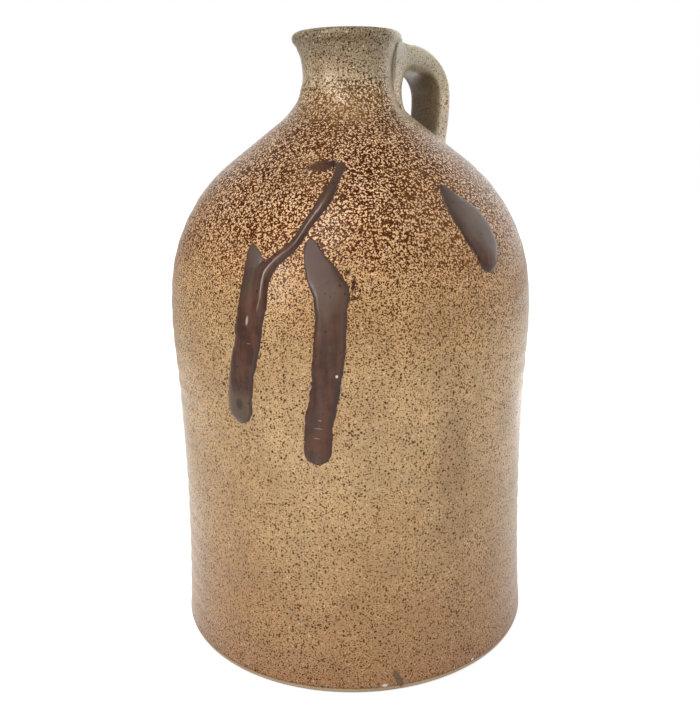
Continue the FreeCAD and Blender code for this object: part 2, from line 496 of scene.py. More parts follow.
class Bench:
    """Lays out the nodes of one tree."""

    def __init__(self, tree: bpy.types.NodeTree) -> None:
        """Start on a tree."""
        self.tree = tree

    def feed(self, socket: Socket, value: Feed) -> None:
        """Link a socket to a wire or to another socket, or set it to a constant.

        Args:
            socket: The input to feed.
            value: What goes into it.
        """
        value = value.socket if isinstance(value, Wire) else value
        if isinstance(value, Socket):
            self.tree.links.new(value, socket)
        else:
            socket.default_value = value

    def node(self, kind: str, feeds: dict | None = None, **settings: object) -> bpy.types.Node:
        """Add a node.

        Args:
            kind: Blender's name for the node type.
            feeds: What goes into each input, by its name or number.
            settings: Options of the node.

        Returns:
            The node.
        """
        node = self.tree.nodes.new(kind)
        for name, value in settings.items():
            setattr(node, name, value)
        for key, value in (feeds or {}).items():
            self.feed(node.inputs[key], value)
        return node

    def wire(self, kind: str, feeds: dict | None = None, output: str | int = 0,
             **settings: object) -> Wire:
        """Add a node and take one of its outputs."""
        return Wire(self, self.node(kind, feeds, **settings).outputs[output])

    def math(self, step: Step, *values: Feed, clamp: bool = False) -> Wire:
        """Do one sum with one or two values, kept between 0 and 1 if clamped."""
        return self.wire("ShaderNodeMath", dict(enumerate(values)), operation=step.value,
                         use_clamp=clamp)

    def mix(self, share: Feed, first: Feed, second: Feed) -> Wire:
        """Mix two colours, with a share of the second."""
        return self.wire("ShaderNodeMix", {0: share, 6: first, 7: second}, 2, data_type="RGBA")

    def noise(self, place: Feed, scale: Feed, detail: float = 0.0, roughness: float = 0.5,
              output: str | int = 0) -> Wire:
        """Cloudy noise, from 0 to 1 about 0.5.

        Args:
            place: Coordinates.
            scale: Features to the metre.
            detail: Number of finer layers.
            roughness: Strength of the finer layers.
            output: Which output of the node is taken.

        Returns:
            The value's wire.
        """
        return self.wire("ShaderNodeTexNoise", {"Vector": place, "Scale": scale,
                                                "Detail": detail, "Roughness": roughness}, output)

    def spots(self, place: Feed, scale: float, rarity: float, largest: float) -> Wire:
        """Scattered round spots of uneven size.

        Args:
            place: Coordinates.
            scale: Spots to the metre.
            rarity: How much rarer the large spots are than the small ones.
            largest: Radius of the largest, in spot spacings.

        Returns:
            Wire that is 1 on a spot.
        """
        cells = self.node("ShaderNodeTexVoronoi", {"Vector": place, "Scale": scale})
        size = self.wire("ShaderNodeSeparateColor", {0: cells.outputs["Color"]})
        return (size ** rarity * largest - cells.outputs["Distance"]).rise(-0.05, 0.05)

    def ramp(self, value: Feed, stops: tuple) -> Wire:
        """Colour that follows a value.

        Args:
            value: From 0 to 1.
            stops: Places along the way, and their colours as seen on a screen or linear greys.

        Returns:
            The colour's wire.
        """
        node = self.node("ShaderNodeValToRGB", {0: value})
        node.color_ramp.interpolation = "EASE"
        marks = node.color_ramp.elements
        while len(marks) < len(stops):
            marks.new(0.5)
        for mark, (place, colour) in zip(marks, stops):
            mark.position = place
            mark.color = srgb(*colour) if isinstance(colour, tuple) else (*(colour,) * 3, 1.0)
        return Wire(self, node.outputs[0])

    def axes(self, vector: Feed) -> list[Wire]:
        """The three parts of a vector."""
        split = self.node("ShaderNodeSeparateXYZ", {0: vector})
        return [Wire(self, socket) for socket in split.outputs]

    def vector(self, *parts: Feed) -> Wire:
        """A vector of up to three parts."""
        return self.wire("ShaderNodeCombineXYZ", dict(enumerate(parts)))

    def attribute(self, name: str) -> Wire:
        """A number that was stored on the mesh."""
        return self.wire("ShaderNodeAttribute", output="Fac", attribute_name=name)

    def bounced(self) -> Wire:
        """1 for a ray that was reflected or went through, for a lamp's or a room's material."""
        paths = self.node("ShaderNodeLightPath").outputs
        return self.math(Step.MAXIMUM, paths["Is Glossy Ray"], paths["Is Transmission Ray"])


# ---- finishes ----


def surface(name: str) -> tuple[Material, Bench, bpy.types.Node]:
    """Start a material.

    Args:
        name: Name of the finish.

    Returns:
        The material, its bench and its surface shader.
    """
    material = bpy.data.materials.new(name)
    material.use_nodes = True
    return (material, Bench(material.node_tree), material.node_tree.nodes["Principled BSDF"])


@dataclass(frozen=True)
class Mark:
    """One mark of the kiln or of use, or a painted glint, as an oval on the unrolled wall, in
    degrees and mm.
    """

    azimuth: float
    level: float
    size: Pair
    lean: float
    colour: Colour
    strength: float = 0.9
    soft: float = 0.25

    def lay(self, chart: Wire, girth: float, ragged: Feed, colour: Wire) -> Wire:
        """Lay the mark over the colour.

        Args:
            chart: The unrolled wall.
            girth: Radius at which it is unrolled.
            ragged: What frays the mark's edge.
            colour: Colour so far.

        Returns:
            The colour with the mark.
        """
        bench = chart.bench
        oval = bench.wire("ShaderNodeMapping", {
            "Vector": chart,
            "Location": (math.radians(self.azimuth) * girth, self.level * MM, 0.0),
            "Rotation": (0.0, 0.0, math.radians(self.lean)),
            "Scale": (self.size[0] * MM, self.size[1] * MM, 1.0)}, vector_type="TEXTURE")
        edge = bench.wire("ShaderNodeVectorMath", {0: oval}, "Value", operation="LENGTH") + ragged
        inside = edge.rise(1.0 - self.soft, 1.0 + self.soft, self.strength, 0.0)
        return colour.under(inside, self.colour)


def laid_marks(marks: tuple[Mark, ...], girth: float, axes: list[Wire], ragged: Feed,
            colour: Wire) -> Wire:
    """Lay the single marks, some of them painted glints, over the colour.

    Args:
        marks: The marks.
        girth: Radius at which the wall is unrolled.
        axes: The object's x, y and z.
        ragged: What frays the marks' edges.
        colour: Colour so far.

    Returns:
        The colour with its marks.
    """
    x, y, level = axes
    chart = x.bench.vector(x.bench.math(Step.ARCTAN2, x, y * -1.0) * girth, level)
    for mark in marks:
        colour = mark.lay(chart, girth, ragged, colour)
    return colour


@dataclass(frozen=True)
class SaltGlaze:
    """Salt-glazed stoneware: orange peel on the shoulder, fine iron specks below, buff neck."""

    height: float
    girth: float
    handle: bool = False
    marks: tuple[Mark, ...] = ()
    cloud_scale: float = 26.0
    drift_scale: float = 75.0
    peel_scale: float = 1750.0
    worm_scale: float = 900.0
    worm_spread: float = 0.85
    swirl_scale: float = 500.0
    swirl_reach: float = 0.0009
    dust_scale: float = 1800.0
    # spots: how many to the metre, how rare the large ones are, the largest's radius in spacings
    specks: Triple = (820.0, 1.5, 0.46)
    flecks_and_glints: Triple = (700.0, 2.2, 0.34)
    grit: Triple = (230.0, 5.0, 0.15)
    crest_highlight_colour: Colour = srgb(255, 230, 200)
    speck_colour: Colour = srgb(58, 30, 2)
    fleck_and_glint_colour: Colour = srgb(238, 212, 176)
    grit_colour: Colour = srgb(48, 32, 20)
    neck_highlight_colour: Colour = srgb(222, 213, 192)
    inner_shade_colour: Colour = srgb(112, 94, 70)
    fire_colour: Colour = srgb(186, 132, 80)
    peel_depth: float = 0.00009
    gloss: float = 0.30
    specular: float = 0.5
    dullness: float = 0.32
    handle_cover: float = 0.38
    # along the height: the pale ground, the dark net, and how much of the wall the net covers
    pale: tuple = ((0.00, (166, 118, 72)), (0.09, (184, 139, 90)), (0.26, (200, 160, 110)),
                   (0.40, (212, 174, 124)), (0.56, (212, 171, 118)), (0.68, (222, 173, 118)),
                   (0.80, (236, 188, 136)), (0.885, (196, 160, 116)), (0.93, (186, 164, 130)),
                   (1.00, (154, 136, 106)))
    iron: tuple = ((0.00, (92, 52, 6)), (0.15, (98, 58, 6)), (0.40, (98, 58, 6)),
                   (0.58, (96, 52, 6)), (0.70, (86, 36, 4)), (0.80, (70, 26, 4)),
                   (0.86, (84, 42, 12)), (0.90, (112, 76, 40)), (0.93, (84, 62, 36)),
                   (1.00, (58, 42, 24)))
    cover: tuple = ((0.00, 0.415), (0.30, 0.400), (0.50, 0.415), (0.60, 0.465), (0.70, 0.515),
                    (0.80, 0.545), (0.87, 0.540), (0.905, 0.495), (0.94, 0.420), (1.00, 0.435))

    def peel(self, place: Wire) -> Wire:
        """Pattern of the orange peel: pale islands in a worm-like net.

        Args:
            place: Coordinates.

        Returns:
            The pattern, high on the islands.
        """
        bench = place.bench
        warp = bench.noise(place, self.swirl_scale, output="Color")
        swirled = bench.wire("ShaderNodeVectorMath", {
            0: warp, 1: (self.swirl_reach,) * 3, 2: place}, operation="MULTIPLY_ADD")
        worms = bench.wire("ShaderNodeTexVoronoi", {
            "Vector": swirled, "Scale": self.worm_scale, "Randomness": self.worm_spread})
        return (1.02 - worms) * 0.5 + bench.noise(swirled, self.peel_scale) * 0.5

    def foot(self, level: Wire, colour: Wire) -> Wire:
        """The wiped bevel of the foot, with painted shade: a contact shadow along its lower edge
        and a shadow line in the crease where the glaze stops.

        Args:
            level: Height above the floor.
            colour: Colour so far.

        Returns:
            The colour with the foot's.
        """
        colour = colour.under(level.rise(0.0026, 0.0030, 0.85, 0.0), srgb(192, 168, 136))
        # painted shadow line in the crease above the bevel, where the glaze stops
        colour = colour.under(level.band(0.0028, 0.0036, 0.0003),
                              colour.under(0.5, srgb(84, 56, 34)))
        # painted contact shadow along the lower edge of the foot
        return colour.under(level.rise(0.0005, 0.0011, 0.85, 0.0), srgb(84, 72, 58))

    def make(self) -> Material:
        """Build the material.

        Returns:
            The material.
        """
        material, bench, shader = surface("buff_handle_glaze" if self.handle else "salt_glaze")
        place = bench.wire("ShaderNodeTexCoord", output="Object")
        x, y, level = bench.axes(place)
        clouds = bench.noise(place, self.cloud_scale, 3.0, 0.55)
        drift = bench.noise(place, self.drift_scale, 3.0, 0.6)
        share = level * (1.0 / self.height)
        # the zones waver, so that no ring of colour runs level round the jug
        wavering = share + (clouds - 0.5) * 0.10
        if self.handle:
            light = bench.mix(drift.rise(0.35, 0.65), srgb(208, 199, 176), srgb(194, 180, 150))
            dark = bench.mix(0.5, srgb(128, 104, 72), srgb(104, 82, 54))
        else:
            light = bench.ramp(wavering, self.pale)
            dark = bench.ramp(wavering, self.iron)

        # orange peel on the shoulder, which breaks up into a fine dust of iron lower down
        dust = bench.noise(place, self.dust_scale, 1.0)
        shoulder = wavering.rise(0.60, 0.76, 0.10, 0.9) * wavering.rise(0.90, 0.95, 1.0, 0.1)
        grain = self.peel(place) * shoulder + dust * (1.0 - shoulder)
        cover = self.handle_cover if self.handle else bench.ramp(wavering, self.cover)
        patchy = (drift - 0.5) * 0.07 + cover
        soft = shoulder.rise(0.2, 0.8, 0.026, 0.014)
        net = (patchy - grain).rise(soft * -0.8, soft)
        # painted highlight: the islands are lightened where they stand highest, as if their tops
        # caught the light
        crest_highlight = (grain - patchy).rise(0.05, 0.17)
        light = light.under(crest_highlight * (shoulder * 0.9), self.crest_highlight_colour)
        colour = light.under(net, dark)

        # pale flecks where the glaze pooled, which also serve as painted glints on the bumps,
        # small iron specks, and sparse larger ones
        scattered = 0.15 if self.handle else share.rise(0.05, 0.40, 0.45, 0.80)
        colour = colour.under(bench.spots(place, *self.flecks_and_glints) * scattered, self.fleck_and_glint_colour)
        specks = bench.spots(place, *self.specks)
        colour = colour.under(specks * (0.30 if self.handle else 0.95),
                              dark.under(0.6, self.speck_colour))
        colour = colour.under(bench.spots(place, *self.grit) * 0.9, self.grit_colour)

        if self.handle:
            # painted shade: the face towards the neck lies in the neck's shade, and its colour is
            # darkened to show it
            colour = colour.under(bench.attribute("inner") * 0.9, self.inner_shade_colour)
        else:
            colour = self.foot(level, colour)
            colour = laid_marks(self.marks, self.girth, [x, y, level], (drift - 0.5) * 0.9, colour)
            # painted highlight: the neck is lightened beside the handle's root, a painted grazing
            # sheen that also covers the shade in the joint
            neck_highlight = (x * 0.85 + y * 0.53).rise(0.006, 0.014) * level.rise(0.234, 0.250)
            colour = colour.under(neck_highlight * 0.72, self.neck_highlight_colour)
        # fire marks: warm clouds
        warm = clouds.rise(0.42, 0.70) * (0.08 if self.handle else 0.22)
        shade = drift.rise(0.25, 0.75, 0.88, 1.10) * clouds.rise(0.30, 0.70, 1.05, 0.94)
        value = bench.wire("ShaderNodeHueSaturation", {
            "Value": shade, "Color": colour.under(warm, self.fire_colour)})
        bench.feed(shader.inputs["Base Color"], value)
        bench.feed(shader.inputs["Roughness"], (dust - 0.5) * 0.25 + self.gloss)
        # iron specks and the dark net are duller than the glaze round them
        bench.feed(shader.inputs["Specular IOR Level"],
                   self.specular - net.or_more(specks) * self.dullness)
        bench.feed(shader.inputs["Normal"], bench.wire("ShaderNodeBump", {
            "Strength": 0.6, "Distance": self.peel_depth, "Height": grain + specks * 0.15}))
        return material


@dataclass(frozen=True)
class DarkGlaze:
    """Thick glossy red-brown glaze, greyer where it is thin at its top and pooled at its foot."""

    girth: float
    name: str = "dark_run_glaze"
    marks: tuple[Mark, ...] = ()
    body: Colour = srgb(68, 34, 14)
    warm: Colour = srgb(96, 55, 33)
    thin: Colour = srgb(116, 95, 82)
    rim: Colour = srgb(60, 38, 30)
    pool: Colour = srgb(118, 96, 76)
    pit: Colour = srgb(30, 18, 15)
    cloud_scale: float = 140.0
    streak_scale: float = 420.0
    streak_stretch: float = 0.10
    pits: Triple = (520.0, 6.0, 0.35)
    ripple_scale: float = 330.0
    ripple_depth: float = 0.00006

    def make(self) -> Material:
        """Build the material.

        Returns:
            The material.
        """
        material, bench, shader = surface(self.name)
        place = bench.wire("ShaderNodeTexCoord", output="Object")
        x, y, level = bench.axes(place)
        flow = bench.attribute("flow")
        clouds = bench.noise(place, self.cloud_scale, 3.0, 0.6)
        # the glaze flowed in upright streaks
        streak = bench.noise(bench.vector(x, y, level * self.streak_stretch),
                             self.streak_scale, 2.0)
        colour = bench.mix((clouds * 0.5 + streak * 0.5).rise(0.40, 0.60),
                           self.body, self.warm)
        # thin at its top, greyer where it pooled at its foot
        colour = colour.under(flow.rise(0.10, 0.55, 0.75, 0.0), self.thin)
        colour = colour.under(flow.rise(0.84, 0.94, 0.0, 0.6), self.pool)
        rim = bench.attribute("thickness").rise(0.30, 1.00, 1.0, 0.0)
        colour = colour.under(rim * 0.6, self.rim)
        pits = bench.spots(place, *self.pits)
        colour = colour.under(pits * 0.6, self.pit)
        colour = laid_marks(self.marks, self.girth, [x, y, level], 0.0, colour)
        bench.feed(shader.inputs["Base Color"], colour)
        # the thin skin at the tops is duller than the gathered glaze
        bench.feed(shader.inputs["Roughness"], clouds.rise(0.3, 0.75, 0.16, 0.26)
                   + flow.rise(0.06, 0.24, 0.26, 0.0))
        ripple = bench.noise(place, self.ripple_scale, 2.0) + pits * -0.6
        bench.feed(shader.inputs["Normal"], bench.wire("ShaderNodeBump", {
            "Strength": 0.35, "Distance": self.ripple_depth, "Height": ripple}))
        return material


CRACK = srgb(62, 30, 18)
SCRATCH = srgb(150, 132, 118)

MARKS_AND_GLINTS = (
    Mark(12.3, 6.6, (1.25, 4.6), 22.0, srgb(96, 80, 62)),
    Mark(8.4, 3.7, (1.2, 0.65), 0.0, srgb(242, 238, 230), 1.0, 0.5),
    Mark(38.2, 3.7, (0.9, 0.45), 0.0, srgb(236, 230, 220), 1.0, 0.5),
    Mark(17.5, 246.6, (1.3, 0.45), 0.0, srgb(214, 204, 188), 1.0),
    Mark(-10.9, 262.7, (1.8, 0.55), 0.0, srgb(46, 34, 20), 1.0),
    Mark(-11.0, 223.6, (9.2, 2.1), 3.0, srgb(64, 42, 40), 1.0, 0.35),
    # painted glints: two small white highlights on the shoulder
    Mark(-15.4, 221.2, (0.9, 0.5), 30.0, srgb(226, 220, 208), 1.0, 0.3),
    Mark(-17.2, 227.8, (0.9, 0.5), 0.0, srgb(222, 210, 190), 0.9, 0.3),
    Mark(-38.8, 136.3, (0.7, 0.7), 0.0, srgb(38, 26, 14), 1.0, 0.3),
    Mark(0.9, 180.0, (0.7, 3.4), -12.0, CRACK, 0.95, 0.4),
    Mark(1.2, 174.6, (2.4, 0.6), 14.0, CRACK, 0.95, 0.4),
    Mark(-0.6, 184.6, (1.2, 1.0), 0.0, CRACK, 0.9, 0.4),
    Mark(30.0, 108.0, (7.0, 52.0), 3.0, srgb(112, 82, 54), 0.22, 0.6),
)

RUN_MARKS_AND_GLINTS = (
    Mark(-32.5, 129.4, (1.6, 2.2), 0.0, srgb(42, 42, 36), 0.85, 0.6),
    # painted glint: a white highlight on the left run
    Mark(-28.5, 165.0, (0.5, 1.8), -8.0, srgb(186, 178, 170), 0.9, 0.4),
    Mark(-28.1, 155.8, (1.0, 0.18), 0.0, srgb(140, 118, 104), 0.8, 0.4),
    # painted glint: a white highlight dot on the long run
    Mark(-3.8, 144.4, (0.5, 0.6), 0.0, srgb(238, 234, 230), 1.0, 0.3),
    Mark(-8.6, 125.8, (0.7, 0.24), 0.0, srgb(160, 142, 128), 0.9, 0.4),
    Mark(-9.1, 122.4, (1.6, 0.22), -6.0, SCRATCH, 0.8, 0.4),
    Mark(-9.6, 118.2, (1.2, 0.20), -4.0, SCRATCH, 0.8, 0.4),
)


# ---- the pieces ----


@dataclass
class TurnedBody:
    """The thrown clay body: one outline turned round by a Geometry Nodes tree.

    The tree makes a grid, reads the outline's point of each row, turns it to the angle of each
    column and lets the outside wander in a little, with the spiral rings of the potter's fingers.
    """

    outline: TurnedOutline
    segments: int = 288
    ring_pitch: float = 0.0094
    ring_depth: float = 0.00016
    wobble: float = 0.00035
    wobble_scale: float = 16.0
    lip_groove: float = 0.0004
    groove_levels: Pair = (0.2735, 0.2748)
    seed: float = 3.7

    def outline_object(self) -> Piece:
        """Make the outline as a string of points with the share of each that is inside.

        Returns:
            A helper object.
        """
        outside, inside = self.outline.outside(), self.outline.inside()[1:]
        mesh = bpy.data.meshes.new("outline")
        mesh.from_pydata([(x, 0.0, z) for x, z in outside + inside], [], [])
        helper = linked("outline", mesh)
        store(helper, "inner", np.repeat([0.0, 1.0], [len(outside), len(inside)]))
        helper.hide_render = True
        return helper

    def inputs(self, helper: Piece, glaze: Material) -> dict:
        """Name the tree's inputs and their values.

        Args:
            helper: The outline.
            glaze: The clay's finish.

        Returns:
            For each input's name its kind of socket and its value.
        """
        return {"Outline": ("Object", helper), "Rows": ("Int", len(helper.data.vertices)),
                "Segments": ("Int", self.segments), "Ring Pitch": ("Float", self.ring_pitch),
                "Ring Depth": ("Float", self.ring_depth), "Wobble": ("Float", self.wobble),
                "Wobble Scale": ("Float", self.wobble_scale), "Seed": ("Float", self.seed),
                "Lip Groove": ("Float", self.lip_groove), "Glaze": ("Material", glaze)}

    def dent(self, given: dict, turn: Wire, spot: tuple[Wire, ...]) -> Wire:
        """How far the wheel's marks press the wall in, so that the widest place keeps its size.

        Args:
            given: The tree's inputs.
            turn: Angle round the wheel.
            spot: Radius, height and whether it is inside, of the outline's point.

        Returns:
            The depth.
        """
        bench = turn.bench
        radius, level, inner = spot
        spiral = bench.math(Step.SINE, turn + level / given["Ring Pitch"] * TAU)
        around = bench.vector(radius * bench.math(Step.COSINE, turn),
                              radius * bench.math(Step.SINE, turn), level * 1.8 + given["Seed"])
        drift = bench.noise(around, given["Wobble Scale"], 1.5)
        rings = (spiral + 1.0) * given["Ring Depth"] * drift.rise(0.30, 0.70, 0.15, 1.0)
        dent = (rings + drift * given["Wobble"]) * radius.rise(0.015, 0.025)
        dent = dent * (1.0 - inner) * level.rise(0.002, 0.012, 0.35, 1.0)
        groove = level.band(*self.groove_levels, 0.0008) * given["Lip Groove"]
        return dent + groove * (1.0 - inner)

    def lathe_tree(self, kinds: dict[str, str]) -> bpy.types.GeometryNodeTree:
        """Lay out the lathe.

        Args:
            kinds: Names of the tree's inputs and their kinds of socket.

        Returns:
            The tree.
        """
        tree = bpy.data.node_groups.new("potters_wheel", "GeometryNodeTree")
        tree.is_modifier = True
        for name, kind in kinds.items():
            tree.interface.new_socket(name, in_out="INPUT", socket_type="NodeSocket" + kind)
        tree.interface.new_socket("Geometry", in_out="OUTPUT", socket_type="NodeSocketGeometry")
        bench = Bench(tree)
        given = bench.node("NodeGroupInput").outputs
        index = bench.wire("GeometryNodeInputIndex")
        column = bench.math(Step.FLOOR, (index + 0.5) / given["Rows"])
        row = index - column * given["Rows"]
        outline = bench.wire("GeometryNodeObjectInfo", {"Object": given["Outline"]}, "Geometry")
        marked = bench.wire("GeometryNodeInputNamedAttribute", {0: "inner"}, data_type="FLOAT")
        inner = bench.wire("GeometryNodeSampleIndex", {
            "Geometry": outline, "Value": marked, "Index": row}, data_type="FLOAT")
        radius, _, level = bench.axes(bench.wire("GeometryNodeSampleIndex", {
            "Geometry": outline, "Value": bench.wire("GeometryNodeInputPosition"), "Index": row},
            data_type="FLOAT_VECTOR"))
        turn = column / given["Segments"] * TAU
        reach = radius - self.dent(given, turn, (radius, level, inner))
        point = bench.vector(reach * bench.math(Step.COSINE, turn),
                             reach * bench.math(Step.SINE, turn), level)
        mesh = bench.wire("GeometryNodeMeshGrid", {
            "Vertices X": Wire(bench, given["Segments"]) + 1.0, "Vertices Y": given["Rows"]})
        for kind, feeds in (("StoreNamedAttribute", {"Name": "inner", "Value": inner}),
                            ("SetPosition", {"Position": point}),
                            ("MergeByDistance", {"Distance": 1e-6}),
                            ("SetShadeSmooth", {}), ("RealizeInstances", {}),
                            ("SetMaterial", {"Material": given["Glaze"]})):
            mesh = bench.wire("GeometryNode" + kind, {"Geometry": mesh, **feeds})
        bench.node("NodeGroupOutput", {0: mesh})
        return tree

    def build(self, glaze: Material) -> Piece:
        """Turn the body and keep the result as a plain mesh.

        Args:
            glaze: The clay's finish.

        Returns:
            The body.
        """
        helper = self.outline_object()
        inputs = self.inputs(helper, glaze)
        tree = self.lathe_tree({name: kind for name, (kind, _) in inputs.items()})
        wheel = linked("wheel", bpy.data.meshes.new("wheel"))
        modifier = wheel.modifiers.new("wheel", "NODES")
        modifier.node_group = tree
        for item in tree.interface.items_tree:
            if item.in_out == "INPUT":
                modifier[item.identifier] = inputs[item.name][1]
        graph = bpy.context.evaluated_depsgraph_get()
        mesh = bpy.data.meshes.new_from_object(wheel.evaluated_get(graph),
                                               preserve_all_data_layers=True, depsgraph=graph)
        wheel.modifiers.remove(modifier)
        bpy.data.objects.remove(wheel)
        bpy.data.objects.remove(helper)
        face_outwards(mesh)
        mesh.name = "jug_body"
        return linked("jug_body", mesh)


@dataclass
class StrapHandle:
    """The pulled strap: out from the neck, round the crown and down into the shoulder.

    Its skin is a net of sections along the strap and lines round it. Where the net comes near
    the clay wall it spreads out along the wall, as a thumbed-down joint does.
    """

    outline: TurnedOutline
    wall: Wall
    azimuth: float = math.radians(35.0)
    bow: float = 0.0347
    drop: float = 0.0030
    crown_rise: float = 0.0031
    crown_arc: float = 0.0179
    fall_arc: float = 0.0785
    width: float = 0.0246
    thickness: float = 0.0112
    crown_thickness: float = 0.0130
    root_depth: float = 0.0440
    root_curve: float = 2.5
    root_width: float = 0.0270
    heel_thickness: float = 0.0130
    heel_width: float = 0.0270
    heel_curve: float = 4.0
    roundness: float = 2.5
    trough_depth: float = 0.025
    trough_width: float = 0.5
    section_points: int = 96
    step: float = 0.0004
    joint: float = 0.0066
    side_joint: float = 0.0050
    side_levels: Pair = (0.238, 0.250)
    lip_levels: Pair = (0.266, 0.276)
    web: float = 0.0030
    web_levels: Pair = (0.246, 0.256)
    rim_clearance: float = 0.0012
    least_reach: float = 0.0004
    sink: float = 0.0020
    hand_marks: float = 0.00022
    shade_edges: Pair = (0.0128, 0.0100)

    def stations(self) -> list[tuple[float, float, float, float, float]]:
        """List the sections along the strap.

        Returns:
            For each section its centre's radius and height, the angle of its outward normal,
            its width and its thickness.
        """
        bow_x = self.outline.throat_radius + self.bow - self.thickness / 2
        top = self.outline.height - self.drop
        crown = (bow_x - self.crown_arc, top - self.crown_thickness / 2 - self.crown_arc)
        fall = (bow_x - self.fall_arc, crown[1])
        centre = self.outline.shoulder_centre
        slope = self.outline.shoulder_slope
        over = ((fall[0] - centre[0]) * math.cos(slope) + (fall[1] - centre[1]) * math.sin(slope)
                - self.outline.shoulder_arc)
        heel = slope - math.acos((-self.outline.wall - over) / self.fall_arc)
        start = self.outline.throat_radius - self.outline.neck_wall / 2
        run = crown[0] - start
        found = []
        for share in np.linspace(0.0, 1.0, math.ceil(run / self.step), endpoint=False):
            ease = (1 - share) ** self.root_curve
            depth = self.crown_thickness + (self.root_depth - self.crown_thickness) * ease
            climb = self.crown_rise * (1.0 - smooth_step(0.2, 1.0, share))
            found.append((start + run * share, top + (climb - depth) / 2, math.pi / 2,
                          self.width + (self.root_width - self.width) * ease, depth + climb))
        around = self.crown_arc * math.pi / 2
        for share in np.linspace(0.0, 1.0, math.ceil(around / self.step), endpoint=False):
            angle = math.pi / 2 * (1 - share)
            ease = (1 - share) ** 2
            found.append((crown[0] + self.crown_arc * math.cos(angle),
                          crown[1] + self.crown_arc * math.sin(angle), angle, self.width,
                          self.thickness + (self.crown_thickness - self.thickness) * ease))
        down = abs(heel) * self.fall_arc
        for share in np.linspace(0.0, 1.0, math.ceil(down / self.step)):
            ease = share ** self.heel_curve
            angle = heel * share
            found.append((fall[0] + self.fall_arc * math.cos(angle),
                          fall[1] + self.fall_arc * math.sin(angle), angle,
                          self.width + (self.heel_width - self.width) * ease,
                          self.thickness + (self.heel_thickness - self.thickness) * ease))
        return found

    def section(self, angles: Array) -> tuple[Array, Array]:
        """Points round the section, in half widths and half thicknesses."""
        power = 2.0 / self.roundness
        return (np.sign(np.cos(angles)) * np.abs(np.cos(angles)) ** power,
                np.sign(np.sin(angles)) * np.abs(np.sin(angles)) ** power)

    def skin(self) -> tuple[Array, Array]:
        """Points of the skin before the joints are thumbed down.

        Returns:
            A net of points and the net's outward directions, sections by lines by three.
        """
        out = np.array([math.cos(self.azimuth), math.sin(self.azimuth), 0.0])
        across = np.array([-math.sin(self.azimuth), math.cos(self.azimuth), 0.0])
        above = np.array([0.0, 0.0, 1.0])
        angles = np.linspace(0.0, TAU, self.section_points, endpoint=False)
        # an even spread of lines round the section
        x, y = self.section(angles)
        ring = np.stack([x * self.width, y * self.thickness], axis=1)
        lengths = np.linalg.norm(np.diff(np.vstack([ring, ring[:1]]), axis=0), axis=1)
        travel = np.concatenate([[0.0], np.cumsum(lengths)])
        even = np.interp(np.linspace(0.0, travel[-1], self.section_points, endpoint=False),
                         travel, np.append(angles, TAU))
        x, y = self.section(even)
        # a shallow trough along the outer face, between the strap's two rolled edges
        trough = self.trough_depth * np.exp(-(x / self.trough_width) ** 2) * (y > 0)
        points = []
        for radius, level, angle, width, thick in self.stations():
            up = out * math.cos(angle) + above * math.sin(angle)
            points.append(out * radius + above * level + np.outer(x * width / 2, across)
                          + np.outer((y - trough) * thick / 2, up))
        net = np.array(points)
        around = np.roll(net, -1, axis=1) - np.roll(net, 1, axis=1)
        normals = np.cross(around, np.gradient(net, axis=0))
        normals /= np.maximum(np.linalg.norm(normals, axis=2, keepdims=True), 1e-12)
        if np.einsum("ijk,ijk->", normals, net - net.mean(axis=1, keepdims=True)) < 0:
            normals = -normals
        return net, normals

    def thumbed(self, net: Array, normals: Array) -> Array:
        """Spread the net out along the wall where it comes near, and sink its ends.

        Args:
            net: The skin's points.
            normals: Its outward directions.

        Returns:
            The points with their joints.
        """
        top = self.outline.height - self.rim_clearance
        level = net[..., 2]
        lean = self.wall.normals(net)
        slide = normals - lean * np.einsum("ijk,ijk->ij", normals, lean)[..., None]
        strength = np.linalg.norm(slide, axis=2)
        slide /= np.maximum(strength, 1e-9)[..., None]
        # the joint is narrow under the lip and broad under the strap
        reach = self.joint * (1.0 + 0.20 * Wander(0.012, 5).at(net))
        reach += (self.side_joint * (1.0 - np.abs(normals[..., 2]))
                  * smooth_step(*self.side_levels, level))
        reach *= 1.0 - 0.50 * smooth_step(*self.lip_levels, level)
        # nothing is thumbed up over the lip
        reach = np.clip(top - level, self.least_reach, reach)
        reach += (self.web * smooth_step(0.2, 0.8, -normals[..., 2])
                  * smooth_step(*self.web_levels, level))
        share = 1.0 - np.clip(self.wall.distance(net) / reach, 0.0, 1.0)
        spread = reach * (1.0 - np.sqrt(np.clip(1.0 - share ** 2, 0.0, 1.0)))
        net = net + slide * (spread * smooth_step(0.15, 0.6, strength))[..., None]
        deep = self.wall.distance(net) < -self.sink
        net[deep] = self.wall.onto(net[deep], self.sink)
        net[..., 2] = np.minimum(net[..., 2], top)
        return net

    def build(self, glaze: Material) -> Piece:
        """Make the strap with its joints.

        Args:
            glaze: The clay's finish.

        Returns:
            The handle.
        """
        net, normals = self.skin()
        pull = Wander(0.016, 11).at(net * np.array([1.0, 1.0, 0.6]))
        net = self.thumbed(net - normals * (self.hand_marks * (pull + 1.0))[..., None], normals)
        ends = self.wall.onto(np.array([net[0].mean(axis=0), net[-1].mean(axis=0)]), self.sink)
        count = net.shape[0] * net.shape[1]
        line = np.arange(count).reshape(net.shape[:2])
        after = np.roll(line, -1, axis=1)
        faces = np.stack([line[:-1], after[:-1], after[1:], line[1:]], axis=-1)
        faces = faces.reshape(-1, 4).tolist()
        faces += [(count, b, a) for a, b in zip(line[0], after[0])]
        faces += [(count + 1, a, b) for a, b in zip(line[-1], after[-1])]
        handle = mesh_piece("jug_handle", np.vstack([net.reshape(-1, 3), ends]), faces, glaze)
        face_outwards(handle.data)
